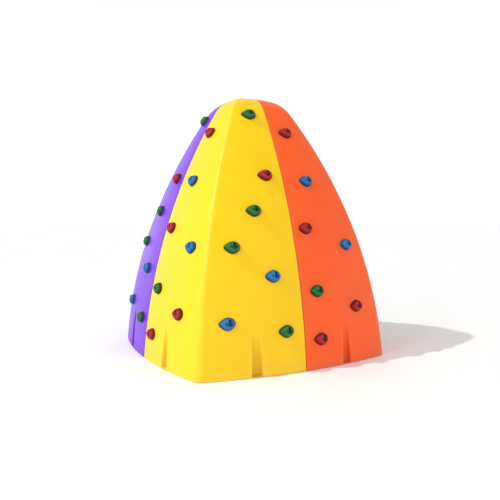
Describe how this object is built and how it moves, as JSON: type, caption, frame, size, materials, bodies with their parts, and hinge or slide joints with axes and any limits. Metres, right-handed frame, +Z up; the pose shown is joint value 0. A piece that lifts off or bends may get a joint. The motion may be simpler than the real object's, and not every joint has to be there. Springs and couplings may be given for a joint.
{
  "type": "rock climbing wall",
  "caption": "Free-standing four-sided climbing tower in moulded quarter shells, dotted with bolt-on holds for children to climb.",
  "frame": {"origin": "on the ground, in the middle of the base", "axes": "+Z up to the crown; the four seams lie in the planes x = 0 and y = 0, at the middle of the four sides"},
  "size_m": [1.7946, 1.7946, 1.99],
  "materials": {
    "shell_yellow": "rotomoulded polyethylene, satin",
    "shell_orange": "rotomoulded polyethylene, satin",
    "shell_purple": "rotomoulded polyethylene, satin",
    "shell_lime": "rotomoulded polyethylene, satin",
    "hold_red": "cast resin, lightly textured",
    "hold_blue": "cast resin, lightly textured",
    "hold_green": "cast resin, lightly textured",
    "dark_steel": "black oxide",
    "zinc_steel": "zinc plated",
    "galvanised_steel": "hot-dip galvanised"
  },
  "bodies": {
    "root": {"back_anchor_brackets": "galvanised_steel", "back_seam_bolts": "zinc_steel", "back_seam_nuts": "zinc_steel", "back_seam_washers": "zinc_steel", "blue_holds_back_lime": "hold_blue", "blue_holds_back_purple": "hold_blue", "blue_holds_front_orange": "hold_blue", "blue_holds_front_yellow": "hold_blue", "blue_holds_left_purple": "hold_blue", "blue_holds_left_yellow": "hold_blue", "blue_holds_right_lime": "hold_blue", "blue_holds_right_orange": "hold_blue", "front_anchor_brackets": "galvanised_steel", "front_seam_bolts": "zinc_steel", "front_seam_nuts": "zinc_steel", "front_seam_washers": "zinc_steel", "green_holds_back_lime": "hold_green", "green_holds_back_purple": "hold_green", "green_holds_front_orange": "hold_green", "green_holds_front_yellow": "hold_green", "green_holds_left_purple": "hold_green", "green_holds_left_yellow": "hold_green", "green_holds_right_lime": "hold_green", "green_holds_right_orange": "hold_green", "left_anchor_brackets": "galvanised_steel", "left_seam_bolts": "zinc_steel", "left_seam_nuts": "zinc_steel", "left_seam_washers": "zinc_steel", "lime_hold_bolts": "dark_steel", "lime_hold_screws": "dark_steel", "lime_shell": "shell_lime", "lime_t_nuts": "zinc_steel", "orange_hold_bolts": "dark_steel", "orange_hold_screws": "dark_steel", "orange_shell": "shell_orange", "orange_t_nuts": "zinc_steel", "purple_hold_bolts": "dark_steel", "purple_hold_screws": "dark_steel", "purple_shell": "shell_purple", "purple_t_nuts": "zinc_steel", "red_holds_back_lime": "hold_red", "red_holds_back_purple": "hold_red", "red_holds_front_orange": "hold_red", "red_holds_front_yellow": "hold_red", "red_holds_left_purple": "hold_red", "red_holds_left_yellow": "hold_red", "red_holds_right_lime": "hold_red", "red_holds_right_orange": "hold_red", "right_anchor_brackets": "galvanised_steel", "right_seam_bolts": "zinc_steel", "right_seam_nuts": "zinc_steel", "right_seam_washers": "zinc_steel", "yellow_hold_bolts": "dark_steel", "yellow_hold_screws": "dark_steel", "yellow_shell": "shell_yellow", "yellow_t_nuts": "zinc_steel"}
  },
  "joints": []
}
